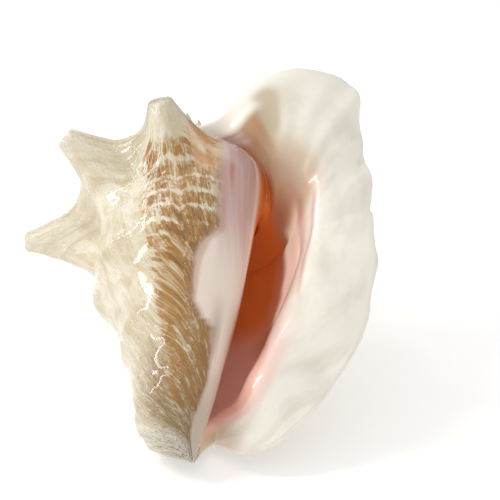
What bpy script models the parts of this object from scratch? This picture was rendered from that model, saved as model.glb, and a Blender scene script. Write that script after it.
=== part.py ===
# Queen conch shell, lying on its back with the aperture up: one solid that coils from the apex
# to a flared lip.
#
# The shell is designed along its own axis: the apex towards +Y, the ventral side (the aperture)
# towards +Z and the lip towards +X. At the end it is turned into the pose in which it rests, and its
# worn tips touch Z = 0.
#
# A growth angle runs from the ventral side (0) over the left (90), the back (180) and the right (270)
# to the lip.
# A level runs down a section of the whorl: 0 at the suture above, 1 on the ramp, 2 on the shoulder,
# 3 where the next whorl is attached, then down the body to 9 at the tip of the columella.
# A turn counts whorls: 0 to 1 is the last one, from the parietal wall to the margin of the lip.

import math

import bmesh
import bpy
import numpy as np
from mathutils import Matrix

MM = 0.001

# Driving dimensions, in millimetres and degrees
WHORL_RATIO = 1.45  # growth of the shell in one turn
APEX_Y = 62.0  # height of the apex above the shoulder on the left side
SHOULDER_R = 43.0  # radius of the shoulder at growth angle 0
SHOULDER_ZERO_ANGLE = 90.0  # growth angle at which the shoulder is at Y = 0
TIP_Y = -165.0  # end of the columella
CORE_R = 3.0  # radius of the columella deep inside
WALL = 4.0  # thickness of the whorl's wall
LIP_WALL = 3.2  # thickness of the lip near its margin

START_ANGLE = -40.0  # growth angle at which the last turn leaves the parietal wall
UPPER_START_ANGLE = -5.52  # the same on the spire, where the lip reaches further round
SCALED_BELOW_ANGLE = -90.0  # the sections before this angle are scaled copies of the one there
FLARE_ANGLE = 270.0  # growth angle at which the lip begins to flare
NOTCH_BACK_ANGLE = 80.0  # the flare starts this much earlier at the siphonal notch
NOTCH_LIFT = 10.0  # how far the notch cuts in beside the tip
FLARE_TURN = 0.8  # turn at which the lip begins to flare
SEAM_CLIMB = 2.2  # levels that the last seam climbs towards the apex
SUTURE_LEVEL = 3.0  # where the next whorl is attached

# Sections of the body below the shoulder: level, then radius and Y at the growth angles of STATIONS
STATIONS = (-90.0, 0.0, 90.0, 180.0, 270.0)
BODY_SECTIONS = (
    (4, (33.0, 45.0, 48.5, 54.0, 58.0), (-18.0, -22.0, -28.0, -34.0, -40.0)),
    (5, (27.5, 42.0, 47.0, 50.0, 52.0), (-47.0, -50.0, -55.0, -60.0, -64.0)),
    (6, (22.5, 34.0, 36.5, 40.0, 42.0), (-76.0, -78.0, -82.0, -87.0, -90.0)),
    (7, (16.0, 24.0, 28.5, 30.0, 32.0), (-105.0, -108.0, -114.0, -114.0, -114.0)),
    (8, (8.0, 15.0, 23.5, 22.0, 18.0), (-136.0, -140.0, -147.0, -143.0, -140.0)),
)

# Margin of the lip: level, X, Y, Z
LIP_MARGIN = (
    (0.0, 3.5, 18.0, 35.0),
    (0.4, 17.0, 23.0, 36.0),
    (0.8, 27.5, 35.5, 38.0),
    (1.2, 40.0, 50.0, 39.0),
    (1.6, 60.0, 62.0, 36.0),
    (2.0, 82.0, 62.0, 31.0),
    (3.0, 88.0, 24.0, 25.0),
    (4.0, 90.0, -18.0, 19.0),
    (5.0, 88.0, -61.0, 13.0),
    (6.0, 79.0, -100.0, 8.0),
    (7.0, 55.0, -137.0, 0.0),
    (8.0, 24.0, -154.0, -9.0),
    (8.5, 8.0, -144.0, -16.0),
    (9.0, 0.0, -165.0, 0.0),
)
LIP_CENTRE = (50.0, -50.0)  # X and Y that the lip spreads away from
LIP_START_PULL = 0.55  # how long the lip keeps the heading of the whorl, as a share of its reach
LIP_END_PULL = 0.4  # the same for the heading that it has at its margin
LIP_END_DROP = 0.35  # how far the margin bends back, as a share of its way out
LIP_WAVE = 1.3  # height of the folds near the margin
LIP_WAVES = 0.85  # folds in each level

# Spines: growth angle, height, reach of the foot, lean towards the apex in degrees, bluntness of the tip
SPINE_STEP = 45.92
BODY_SPINES = (
    (11.7, 21.5, 21.0, 20.0, 1.9),
    (57.6, 31.0, 23.0, 21.0, 1.7),
    (103.5, 44.0, 25.0, 2.0, 1.55),
    (149.5, 41.0, 24.0, 12.0, 1.3),
    (195.4, 32.0, 24.0, 12.0, 1.35),
    (241.3, 36.0, 26.0, 12.0, 1.2),
)
SPINE_GATHER = 0.5  # how much the foot is drawn in towards the spine
SPINE_TAIL = 1.5  # the foot runs this much further down the body
SPINE_NEAR_TURN = 0.22  # a spine moves no point further away along the turn than this
SPINE_NEAR_LEVEL = 6.0  # nor any point below this level

# Spines of the spire, each on the column of the mesh nearest to its even place, so that its tip is sharp.
# The spine at -66 is left out, because the parietal wall covers it.
SPIRE_SPINE_COLUMNS = (-20, -28, -35, -43, -51, -59, -74, -82, -90, -98, -106, -113, -121, -129, -137, -144)
SPIRE_SPINE_HEIGHT = 15.0  # at the angle below which the sections are scaled copies
SPIRE_SPINE_FOOT = 12.0
SPIRE_SPINE_LEAN = 25.0
SPIRE_SPINE_BLUNT = 1.2

# Cords that run round the body: level, height, half width in levels
CORDS = ((5.05, 3.5, 0.42), (6.45, 2.2, 0.3))
RIB_HEIGHT = 1.6

# Pose at rest: turned about X, then about Y, onto two spines of the back and the lower end of the body
REST_TURN_X = 22.4
REST_TURN_Y = -4.2
WORN = 0.9  # how much is worn flat where the shell lies on the ground

# Mesh
TURN_COLUMNS = 60  # columns in each turn
SPIRE_TURNS = 4.5  # whorls of the spire above the last one
HOLLOW_TURNS = 0.85  # how far the hollow reaches back from the margin
COARSE_INSIDE = 15  # columns before the parietal wall where the columella's mesh becomes coarser
COARSE_SPIRE = 120  # the same for the small whorls near the apex
COARSE_LINING = 24  # columns of the lining, from the parietal wall on, that are coarser
LEVELS = (
    (0.0, 0.35, 0.7, 1.0, 1.35, 1.7, 2.0, 2.4, 2.7)
    + (3.0, 3.3, 3.65, 4.0, 4.33, 4.67, 5.0, 5.3, 5.6, 5.9)
    + (6.2, 6.6, 7.0, 7.4, 7.7, 8.0, 8.3, 8.6, 9.0)
)


def smooth(t):
    t = np.clip(t, 0.0, 1.0)
    return t * t * (3.0 - 2.0 * t)


def bump(t):
    """1 at t = 0, falling smoothly to 0 at -1 and 1."""
    return 1.0 - smooth(np.abs(t))


def through(knots, values, at):
    """A smooth curve through values at the knots, read at the places in at."""
    knots = np.asarray(knots, float)
    values = np.asarray(values, float)
    slopes = np.gradient(values, knots, axis=0)
    i = np.clip(np.searchsorted(knots, at, side="right") - 1, 0, len(knots) - 2)
    span = knots[i + 1] - knots[i]
    t = (at - knots[i]) / span
    if values.ndim == 2:
        span = span[..., None]
        t = t[..., None]
    return (
        (2 * t**3 - 3 * t**2 + 1) * values[i]
        + (t**3 - 2 * t**2 + t) * span * slopes[i]
        + (-2 * t**3 + 3 * t**2) * values[i + 1]
        + (t**3 - t**2) * span * slopes[i + 1]
    )


def growth(angle):
    return WHORL_RATIO ** (angle / 360.0)


def section_knots(angle):
    """Radius and Y of levels 0 to 9 at these growth angles, each as an array with a column for each level."""
    scale = growth(angle)
    drop = scale / growth(SHOULDER_ZERO_ANGLE)
    below = APEX_Y + 6.5
    radii = [
        SHOULDER_R * 1.01 * scale / WHORL_RATIO,
        SHOULDER_R * 0.84 * scale,
        SHOULDER_R * scale,
        SHOULDER_R * 1.01 * scale,
    ]
    heights = [
        APEX_Y - below * drop / WHORL_RATIO,
        APEX_Y - (APEX_Y - 10.0) * drop,
        APEX_Y - APEX_Y * drop,
        APEX_Y - below * drop,
    ]
    for _, radius, height in BODY_SECTIONS:
        radii.append(through(STATIONS, radius, angle))
        heights.append(through(STATIONS, height, angle))
    radii.append(np.zeros_like(angle))
    heights.append(np.full_like(angle, TIP_Y))
    return np.stack(radii, -1), np.stack(heights, -1)


def along_levels(knots, level):
    """A smooth curve down the levels, for each row of knots at its own level."""
    last = knots.shape[1] - 1
    i = np.clip(np.floor(level).astype(int), 0, last - 1)
    t = level - i
    p = [np.take_along_axis(knots, np.clip(i + k, 0, last)[:, None], 1)[:, 0] for k in (-1, 0, 1, 2)]
    p[0] = np.where(i == 0, 2 * p[1] - p[2], p[0])
    p[3] = np.where(i == last - 1, 2 * p[2] - p[1], p[3])
    m1 = (p[2] - p[0]) / 2
    m2 = (p[3] - p[1]) / 2
    return (
        (2 * t**3 - 3 * t**2 + 1) * p[1]
        + (t**3 - 2 * t**2 + t) * m1
        + (-2 * t**3 + 3 * t**2) * p[2]
        + (t**3 - t**2) * m2
    )


def climbed(angle, level):
    """Levels slide towards the apex around the start of the last turn: its seam climbs the spire."""
    climb = SEAM_CLIMB * smooth((angle + 105.0) / 80.0) * (1.0 - smooth((angle + 4.0) / 45.0))
    above = level / SUTURE_LEVEL
    below = (9.0 - level) / (9.0 - SUTURE_LEVEL)
    return level - climb * np.where(level < SUTURE_LEVEL, above, below)


def relief(angle, level):
    """Cords and ribs on the back and the left of the body, as a height."""
    there = smooth((angle - 15.0) / 50.0) * (1.0 - smooth((angle - 240.0) / 40.0))
    rib = np.cos(2 * np.pi * (angle - BODY_SPINES[0][0]) / SPINE_STEP)
    height = RIB_HEIGHT * rib * smooth((level - 2.0) / 1.0) * (1.0 - smooth((level - 4.0) / 2.5))
    for cord, rise, width in CORDS:
        height = height + rise * (0.75 + 0.25 * rib) * bump((level - cord) / width)
    return height * there


def section_point(angle, level, tip_y=None):
    """Radius and Y of the coiled whorl. tip_y lifts the lower end of each section."""
    at = np.maximum(angle, SCALED_BELOW_ANGLE)
    radii, heights = section_knots(at)
    level = climbed(angle, level)
    r = along_levels(radii, level)
    y = along_levels(heights, level)
    if tip_y is not None:
        top = heights[:, 3]
        y = np.where(y < top, top + (y - top) * (tip_y - top) / (TIP_Y - top), y)
    scale = growth(np.minimum(angle, SCALED_BELOW_ANGLE) - SCALED_BELOW_ANGLE)
    y = y + NOTCH_LIFT * bump((level - 8.6) / 1.0) * smooth((angle - 110.0) / 80.0)
    r = np.maximum(r, 0.0) * scale
    y = APEX_Y + (y - APEX_Y) * scale
    return r, y


def place(r, y, angle):
    turn = np.radians(angle)
    return np.stack([-np.sin(turn) * r, y, np.cos(turn) * r], -1)


def growth_angle(turn, level):
    upper = 1.0 - smooth((level - SUTURE_LEVEL) / 1.7)
    start = START_ANGLE + (UPPER_START_ANGLE - START_ANGLE) * upper
    flare_angle = FLARE_ANGLE - NOTCH_BACK_ANGLE * smooth((level - 7.2) / 1.6)
    last = start + (flare_angle - start) * turn / FLARE_TURN
    return np.where(turn < 0, start + 360.0 * turn, last)


def core(angle, level):
    """Radius of the columella's core, which begins where the sections begin to shrink."""
    return CORE_R * np.clip((SCALED_BELOW_ANGLE - angle) / 60.0, 0.0, 1.0) * smooth((level - 7.0) / 2.0)


def coil(turn, level, inner=False):
    """The coiled whorl before it flares. The inner one ends where the hollow ends, above the solid tip."""
    angle = growth_angle(turn, level)
    if inner:
        tip_y = APEX_Y + (TIP_Y - APEX_Y) * growth(np.minimum(angle - 360.0 - SCALED_BELOW_ANGLE, 0.0))
        r, y = section_point(angle, level, tip_y)
        return place(np.hypot(r, core(angle - 360.0, level)), y, angle)
    r, y = section_point(angle, level)
    r = r + relief(angle, level)
    return place(np.hypot(r, core(angle, level)), y, angle)


def flare(turn, level, inner=False):
    """The lip: a smooth sheet from the end of the coil to the margin."""
    start_turn = np.full_like(turn, FLARE_TURN)
    start = coil(start_turn, level, inner)
    before = coil(start_turn - 0.01, level, inner)
    heading = start - before
    heading /= np.maximum(np.linalg.norm(heading, axis=1, keepdims=True), 1e-9)
    margin_table = np.array(LIP_MARGIN)
    end = through(margin_table[:, 0], margin_table[:, 1:], level)
    out = end - np.array([*LIP_CENTRE, 0.0])
    out[:, 2] = 0.0
    out /= np.linalg.norm(out, axis=1, keepdims=True)
    wave = np.sin(2 * np.pi * LIP_WAVES * level)
    wave = wave * smooth((level - 1.0) / 1.0) * (1.0 - smooth((level - 6.5) / 1.2))
    end = end + wave[:, None] * LIP_WAVE * (np.array([0.0, 0.0, 1.0]) + 0.5 * out)
    out[:, 2] = -LIP_END_DROP
    reach = np.linalg.norm(end - start, axis=1, keepdims=True)
    p1 = start + heading * reach * LIP_START_PULL
    p2 = end - out * reach * LIP_END_PULL
    g = np.clip((turn - FLARE_TURN) / (1.0 - FLARE_TURN), 0.0, 1.0)[:, None]
    return (1 - g) ** 3 * start + 3 * g * (1 - g) ** 2 * p1 + 3 * g**2 * (1 - g) * p2 + g**3 * end


def sheet(turn, level, inner=False):
    turn = turn.ravel()
    level = level.ravel()
    coiled = coil(np.minimum(turn, FLARE_TURN), level, inner)
    flared = flare(turn, level, inner)
    return np.where((turn > FLARE_TURN)[:, None], flared, coiled)


def grid(turns, levels, inner=False):
    u, s = np.meshgrid(turns, levels, indexing="ij")
    return sheet(u, s, inner).reshape(len(turns), len(levels), 3)


def outward_normals(points):
    """Unit normals of a grid of points, away from the inside of the whorl."""
    n = np.cross(np.gradient(points, axis=0), np.gradient(points, axis=1))
    return n / np.maximum(np.linalg.norm(n, axis=2, keepdims=True), 1e-9)


def spines():
    """Each spine as its turn, growth angle, height, foot, lean and bluntness."""
    found = []
    for angle, *shape in BODY_SPINES:
        turn = (angle - UPPER_START_ANGLE) / (FLARE_ANGLE - UPPER_START_ANGLE) * FLARE_TURN
        found.append((turn, angle, *shape))
    for column in SPIRE_SPINE_COLUMNS:
        turn = column / TURN_COLUMNS
        angle = UPPER_START_ANGLE + 360.0 * turn
        scale = growth(angle - SCALED_BELOW_ANGLE)
        height = SPIRE_SPINE_HEIGHT * scale
        foot = SPIRE_SPINE_FOOT * scale
        found.append((turn, angle, height, foot, SPIRE_SPINE_LEAN, SPIRE_SPINE_BLUNT))
    return found


def with_spines(points, turns, levels):
    """The grid of points with every spine raised on it: the foot is drawn in and lifted to a blunt tip."""
    raised = points.copy()
    near = levels < SPINE_NEAR_LEVEL
    for turn, angle, height, foot, lean, blunt in spines():
        drop = growth(angle - SHOULDER_ZERO_ANGLE)
        base = place(SHOULDER_R * growth(angle), APEX_Y - APEX_Y * drop, angle)
        outward = base * (1.0, 0.0, 1.0)
        outward /= np.linalg.norm(outward)
        tilt = math.radians(lean)
        along = outward * math.cos(tilt) + np.array([0.0, math.sin(tilt), 0.0])
        columns = np.abs(turns - turn) < SPINE_NEAR_TURN
        block = points[np.ix_(columns, near)] - base
        level_part = block @ along
        side = block - level_part[..., None] * along
        below = np.minimum(side[..., 1], 0.0)
        measure = side.copy()
        measure[..., 1] -= below * (1.0 - 1.0 / SPINE_TAIL)
        t = np.clip(np.linalg.norm(measure, axis=2) / foot, 0.0, 1.0)
        lift = np.minimum(1.0, blunt * (1.0 - t) ** 1.5) * height
        gather = SPINE_GATHER * (1.0 - t) ** 2
        # nearly level with the tip, the top of a blunt spine is flat
        level_part = level_part * (1.0 - bump(t * 1.5))
        new = side * (1.0 - gather)[..., None] + (level_part + lift)[..., None] * along
        moved = np.where((t < 1.0)[..., None], new - block, 0.0)
        raised[np.ix_(columns, near)] += moved
    return raised


def shell_grids():
    levels = np.array(LEVELS)
    suture = LEVELS.index(SUTURE_LEVEL)
    spire_columns = round(SPIRE_TURNS * TURN_COLUMNS)
    turns = np.arange(-spire_columns, TURN_COLUMNS + 1) / TURN_COLUMNS
    outer = with_spines(grid(turns, levels), turns, levels)
    # the upper edge of each whorl lies on the whorl before
    ramp = (1.0 - smooth(levels / 1.0))[:, None]
    for column in range(TURN_COLUMNS, len(turns)):
        gap = outer[column - TURN_COLUMNS, suture] - outer[column, 0]
        outer[column] += ramp * gap
    last = turns >= 0
    plain = grid(turns[last], levels, inner=True)
    thickness = WALL + (LIP_WALL - WALL) * smooth((turns[last] - FLARE_TURN) / (1 - FLARE_TURN))
    foot = smooth((levels - 8.0) / 1.0)
    inner = plain - outward_normals(plain) * thickness[:, None, None] * (1 - foot)[None, :, None]
    # the lining's ends lie on the whorl before: its ceiling on the seam and its floor on the columella
    ramp = (1.0 - smooth(levels / 0.8))[:, None]
    for k in range(TURN_COLUMNS + 1):
        column = spire_columns + k - TURN_COLUMNS
        inner[k] += ramp * (outer[column, suture + 1] - inner[k, 0])
        inner[k] += foot[:, None] * (outer[column, -1] - inner[k, -1])
    return turns, levels, suture, outer, inner


def add_grid(bm, columns):
    """Faces between neighbouring columns of vertices. Where two vertices are one, a face is a triangle."""
    for left, right in zip(columns, columns[1:]):
        for corners in zip(left, left[1:], right[1:], right):
            loop = list(dict.fromkeys(corners))
            if len(loop) > 2:
                bm.faces.new(loop)


def build_shell():
    turns, levels, suture, outer, inner = shell_grids()
    bm = bmesh.new()
    zero = int(np.flatnonzero(turns == 0)[0])
    last = len(turns) - 1
    rows = len(levels)
    hollow = round(HOLLOW_TURNS * TURN_COLUMNS)
    tip_columns = zero - round((START_ANGLE - SCALED_BELOW_ANGLE) / 360.0 * TURN_COLUMNS)
    made = {}

    def vert(key, point):
        if key not in made:
            made[key] = bm.verts.new(point)
        return made[key]

    def outer_vert(c, j):
        """The vertex of the outer grid. Deep inside and high on the spire the mesh is coarser."""
        if j == rows - 1 and c >= tip_columns:
            return vert("tip", outer[last, -1])
        if c < zero - COARSE_INSIDE and j > suture + 1 and j != rows - 1:
            j = suture + 1 + (j - suture - 1) // 2 * 2
        if c < zero - COARSE_INSIDE and j > suture:
            c -= c % 2
        if c < zero - COARSE_SPIRE and j <= suture:
            c -= c % 3
            j -= j % 3
        if j == 0 and c >= TURN_COLUMNS:
            return outer_vert(c - TURN_COLUMNS, suture)
        if c == 0:
            j = suture
        return vert((c, j), outer[c, j])

    def inner_vert(k, j):
        if j == 0:
            return outer_vert(zero + k - TURN_COLUMNS, suture + 1)
        if j == rows - 1:
            return outer_vert(zero + k - TURN_COLUMNS, rows - 1)
        if k < COARSE_LINING:
            k -= k % 2
            j -= j % 2
            if j == 0:
                return inner_vert(k, 0)
        return vert(("inner", k, j), inner[k, j])

    add_grid(bm, [[outer_vert(c, j) for j in range(suture + 1)] for c in range(zero + 1)])
    add_grid(bm, [[outer_vert(c, j) for j in range(rows)] for c in range(zero, last + 1)])
    columella = [[outer_vert(c, j) for j in range(suture + 1, rows)] for c in range(zero - hollow, zero + 1)]
    add_grid(bm, columella)
    first = TURN_COLUMNS - hollow
    add_grid(bm, [[inner_vert(k, j) for j in range(rows)] for k in range(first, TURN_COLUMNS + 1)])

    # the rim of the lip: a rounded strip between the outer and the inner margin
    edge_out = [outer_vert(last, j) for j in range(rows)]
    edge_in = [inner_vert(TURN_COLUMNS, j) for j in range(rows)]
    away = (outer[last] - outer[last - 1])[1:-1]
    away /= np.linalg.norm(away, axis=1, keepdims=True)
    across = (outer[last] - inner[TURN_COLUMNS])[1:-1]
    roundness = away * np.linalg.norm(across, axis=1, keepdims=True)
    middle = inner[TURN_COLUMNS, 1:-1] + across / 2 + roundness / 2
    edge_mid = [edge_out[0]] + [vert(("rim", j), point) for j, point in enumerate(middle)] + [edge_out[-1]]
    add_grid(bm, [edge_out, edge_mid, edge_in])

    # the end of the hollow, deep inside
    ring = [inner_vert(first, j) for j in range(rows)]
    ring += columella[0][-2:0:-1]
    ring = list(dict.fromkeys(ring))
    centre = bm.verts.new(np.mean([v.co for v in ring], axis=0))
    for a, b in zip(ring, ring[1:] + ring[:1]):
        bm.faces.new((a, b, centre))

    # the apex: a cap over the first whorl
    apex = bm.verts.new((0.0, APEX_Y - 0.5, 0.0))
    for edge in [e for e in bm.edges if len(e.link_faces) == 1]:
        bm.faces.new((*edge.verts, apex))
    bmesh.ops.scale(bm, vec=(MM, MM, MM), verts=bm.verts)
    return bm


def lay_down(bm):
    """Turns the shell into its pose at rest, wears the lowest points flat and puts it on the origin."""
    bmesh.ops.rotate(bm, matrix=Matrix.Rotation(math.radians(REST_TURN_X), 3, "X"), verts=bm.verts)
    bmesh.ops.rotate(bm, matrix=Matrix.Rotation(math.radians(REST_TURN_Y), 3, "Y"), verts=bm.verts)
    ground = min(v.co.z for v in bm.verts) + WORN * MM
    geometry = bm.verts[:] + bm.edges[:] + bm.faces[:]
    bmesh.ops.bisect_plane(bm, geom=geometry, plane_co=(0, 0, ground), plane_no=(0, 0, 1), clear_inner=True)
    bmesh.ops.holes_fill(bm, edges=[e for e in bm.edges if len(e.link_faces) == 1])
    spans = [(min(v.co[axis] for v in bm.verts), max(v.co[axis] for v in bm.verts)) for axis in (0, 1)]
    centre = [sum(span) / 2 for span in spans]
    bmesh.ops.translate(bm, vec=(-centre[0], -centre[1], -ground), verts=bm.verts)


def shell_material():
    """Porcelain-like shell: pale cream, a little glossy."""
    material = bpy.data.materials.new("shell")
    material.use_nodes = True
    surface = material.node_tree.nodes["Principled BSDF"]
    surface.inputs["Base Color"].default_value = (0.78, 0.66, 0.50, 1.0)
    surface.inputs["Roughness"].default_value = 0.35
    return material


def main():
    for old in list(bpy.data.objects):
        bpy.data.objects.remove(old)
    bm = build_shell()
    lay_down(bm)
    bmesh.ops.recalc_face_normals(bm, faces=bm.faces)
    bmesh.ops.triangulate(bm, faces=bm.faces)
    mesh = bpy.data.meshes.new("shell")
    bm.to_mesh(mesh)
    bm.free()
    mesh.shade_smooth()
    mesh.materials.append(shell_material())
    collection = bpy.data.collections.new("queen_conch")
    bpy.context.scene.collection.children.link(collection)
    collection.objects.link(bpy.data.objects.new("shell", mesh))


main()
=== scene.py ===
# Queen conch shell, lying on its back on a pale studio floor with the aperture up.
# The shell is one piece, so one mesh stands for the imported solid. It is drawn the way the animal built it:
# a section turns round the axis, larger by a fixed ratio in each turn, and ends flared out into the lip.
# Angles are growth angles in degrees: 0 is the ventral side, 90 the left, 180 the back and 270 the right.
# Levels run down a section: 0 at the suture above, 1 on the ramp, 2 on the shoulder, 3 where the next whorl
# is attached and 9 at the tip of the columella. A turn counts whorls, and 0 to 1 is the last one.
# Lengths are in millimetres until the shell is laid down.
# A pair for ramp is where it is 0 and where it is 1. Four numbers for band are where it starts, is full, is
# last full and ends. A pair for bump is its middle and its reach.

import math

import bmesh
import bpy
import numpy as np
from mathutils import Matrix, Vector


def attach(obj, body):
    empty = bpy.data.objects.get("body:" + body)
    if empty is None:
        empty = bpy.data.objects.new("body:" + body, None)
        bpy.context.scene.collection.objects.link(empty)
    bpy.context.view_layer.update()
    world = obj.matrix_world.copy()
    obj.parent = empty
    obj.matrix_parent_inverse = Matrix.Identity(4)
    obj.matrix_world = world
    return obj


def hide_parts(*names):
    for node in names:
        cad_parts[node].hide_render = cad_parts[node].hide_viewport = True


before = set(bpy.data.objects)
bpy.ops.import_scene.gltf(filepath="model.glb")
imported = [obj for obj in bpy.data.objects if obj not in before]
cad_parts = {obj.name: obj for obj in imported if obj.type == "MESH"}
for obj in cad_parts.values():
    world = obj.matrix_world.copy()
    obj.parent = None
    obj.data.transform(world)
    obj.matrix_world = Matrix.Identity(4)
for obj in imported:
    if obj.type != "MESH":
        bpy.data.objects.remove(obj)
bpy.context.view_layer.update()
millimetre = 0.001

whorl = {
    "ratio": 1.45,  # growth in one turn
    "fullTurn": 360.0,
    "apexY": 62.0,
    "shoulderRadius": 43.0,
    "shoulderZeroAngle": 90.0,
    "rampRadius": 0.84,  # of the shoulder's
    "rampRise": 10.0,
    "attachRadius": 1.01,
    "attachDrop": 6.5,
    "tipY": -165.0,
    "coreRadius": 3.0,
    "coreSpan": 60.0,
    "coreLevels": (7.0, 9.0),
    "wall": 4.0,
    "startAngle": -40.0,  # where the last turn leaves the parietal wall
    "upperStartAngle": -5.52,
    "upperLevels": (4.7, 3.0),
    "scaledBelowAngle": -90.0,  # sections before this angle are scaled copies
    "seamClimb": 2.2,  # levels
    "climbAngles": (-105.0, -25.0, -4.0, 41.0),
    "sutureLevel": 3.0,
    "lastLevel": 9.0,
    "wallEndLevels": (8.0, 9.0),
    "ceilingLevel": 3.3,  # where the lining of the next whorl is attached
    "notchLift": 10.0,
    "notchLevel": (8.6, 1.0),
    "notchAngles": (110.0, 190.0),
    "stations": (-90.0, 0.0, 90.0, 180.0, 270.0),
    # below the shoulder, one row a level: radius, then Y, at each station
    "body": (
        ((33.0, 45.0, 48.5, 54.0, 58.0), (-18.0, -22.0, -28.0, -34.0, -40.0)),
        ((27.5, 42.0, 47.0, 50.0, 52.0), (-47.0, -50.0, -55.0, -60.0, -64.0)),
        ((22.5, 34.0, 36.5, 40.0, 42.0), (-76.0, -78.0, -82.0, -87.0, -90.0)),
        ((16.0, 24.0, 28.5, 30.0, 32.0), (-105.0, -108.0, -114.0, -114.0, -114.0)),
        ((8.0, 15.0, 23.5, 22.0, 18.0), (-136.0, -140.0, -147.0, -143.0, -140.0)),
    ),
    "ribHeight": 1.6,
    "ribAngles": (15.0, 65.0, 240.0, 280.0),
    "ribLevels": (2.0, 3.0, 4.0, 6.5),
    "cords": ((5.05, 3.5, 0.42), (6.45, 2.2, 0.3)),  # level, height, half width in levels
    "cordSwell": 0.25,  # how much a cord swells on the ribs
}

lip = {
    "wall": 3.2,
    "flareAngle": 270.0,
    "flareTurn": 0.8,
    "notchBackAngle": 80.0,
    "notchLevels": (7.2, 8.8),
    # level, X, Y, Z of the margin
    "margin": (
        (0.0, 3.5, 18.0, 35.0),
        (0.4, 17.0, 23.0, 36.0),
        (0.8, 27.5, 35.5, 38.0),
        (1.2, 40.0, 50.0, 39.0),
        (1.6, 60.0, 62.0, 36.0),
        (2.0, 82.0, 62.0, 31.0),
        (3.0, 88.0, 24.0, 25.0),
        (4.0, 90.0, -18.0, 19.0),
        (5.0, 88.0, -61.0, 13.0),
        (6.0, 79.0, -100.0, 8.0),
        (7.0, 55.0, -137.0, 0.0),
        (8.0, 24.0, -154.0, -9.0),
        (8.5, 8.0, -144.0, -16.0),
        (9.0, 0.0, -165.0, 0.0),
    ),
    "centre": (50.0, -50.0),
    "startPull": 0.55,
    "endPull": 0.4,
    "endDrop": 0.35,
    "wave": 1.3,
    "waves": 0.85,
    "waveLevels": (1.0, 2.0, 6.5, 7.7),
    "waveOut": 0.5,
    "rimSegments": 4,
    "headingTurn": 0.01,  # the length of coil that gives the heading of the flare
    "headingColumns": 4,  # and of the rim
    "wallTurns": 0.2,  # over which the wall thins
    "softenings": 160,
    "softTurns": (0.80, 0.88, 0.90, 0.99),
    "softLevels": (0.9, 1.4, 3.4, 4.2),
}

spines = {
    # growth angle, height, reach of the foot, lean towards the apex in degrees, bluntness of the tip
    "body": (
        (11.7, 21.5, 21.0, 20.0, 1.9),
        (57.6, 31.0, 23.0, 21.0, 1.7),
        (103.5, 44.0, 25.0, 2.0, 1.55),
        (149.5, 41.0, 24.0, 12.0, 1.3),
        (195.4, 32.0, 24.0, 12.0, 1.35),
        (241.3, 36.0, 26.0, 12.0, 1.2),
    ),
    "stepAngle": 45.92,
    # on the spire, in sixtieths of a turn; the parietal wall covers the one at -66
    "spire": (-20, -28, -35, -43, -51, -59, -74, -82, -90, -98, -106, -113, -121, -129, -137, -144),
    "spireStep": -7.65,
    "stepsPerTurn": 60.0,
    "tinyOnes": 14,  # further ones on the first whorls
    "spireHeight": 15.0,
    "spireFoot": 12.0,
    "spireLean": 25.0,
    "spireBlunt": 1.2,
    "gather": 0.5,
    "tail": 1.5,  # the foot reaches this much further down the body
    "taper": 1.5,  # power by which a spine narrows to its tip
    "levelled": 2 / 3,  # share of the foot that is levelled under the spine
    "nearTurn": 0.22,
    "nearLevel": 6.0,
}

net = {
    "columns": 216,  # in each turn
    "spireTurns": 7.5,
    "hollowTurns": 0.75,
    "upperRows": 36,
    "lowerRows": 105,
    "mergeDistance": 0.000004,
    "coarse": ((-2, 3, 2), (-4, 6, 3)),  # before this turn: step in columns, step in rows
    "liningPull": (0.8, 0.0),  # levels over which the lining is drawn to the whorl above
}
sutureRow = net["upperRows"]
ceilingRow = sutureRow + lip["rimSegments"]
perTurn = net["columns"]
zeroColumn = round(net["spireTurns"] * perTurn)  # where the last whorl starts
endColumn = zeroColumn + perTurn
hollowColumns = round(net["hollowTurns"] * perTurn)

rest = {
    "turnX": 22.4,  # degrees about X, then about Y
    "turnY": -4.2,
}


def smooth(t):
    t = np.clip(t, 0.0, 1.0)
    return t * t * (3.0 - 2.0 * t)


def ramp(value, start, full):  # from 0 to 1, upwards or downwards
    return smooth((value - start) / (full - start))


def band(value, start, full, lastFull, end):
    return ramp(value, start, full) * ramp(value, end, lastFull)


def bump(value, middle, reach):
    return 1.0 - smooth(np.abs(value - middle) / reach)


def curve(t, start, startSlope, end, endSlope):
    return (
        (2 * t**3 - 3 * t**2 + 1) * start
        + (t**3 - 2 * t**2 + t) * startSlope
        + (-2 * t**3 + 3 * t**2) * end
        + (t**3 - t**2) * endSlope
    )


def through(knots, values, at):  # a smooth curve through values at the knots
    knots = np.asarray(knots, float)
    values = np.asarray(values, float)
    slopes = np.gradient(values, knots, axis=0)
    i = np.clip(np.searchsorted(knots, at, side="right") - 1, 0, len(knots) - 2)
    span = knots[i + 1] - knots[i]
    t = (at - knots[i]) / span
    if values.ndim == 2:
        span = span[..., None]
        t = t[..., None]
    return curve(t, values[i], span * slopes[i], values[i + 1], span * slopes[i + 1])


def unit(vectors):
    return vectors / np.maximum(np.linalg.norm(vectors, axis=-1, keepdims=True), 1e-9)


def growth(angle):
    return whorl["ratio"] ** (angle / whorl["fullTurn"])


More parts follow.
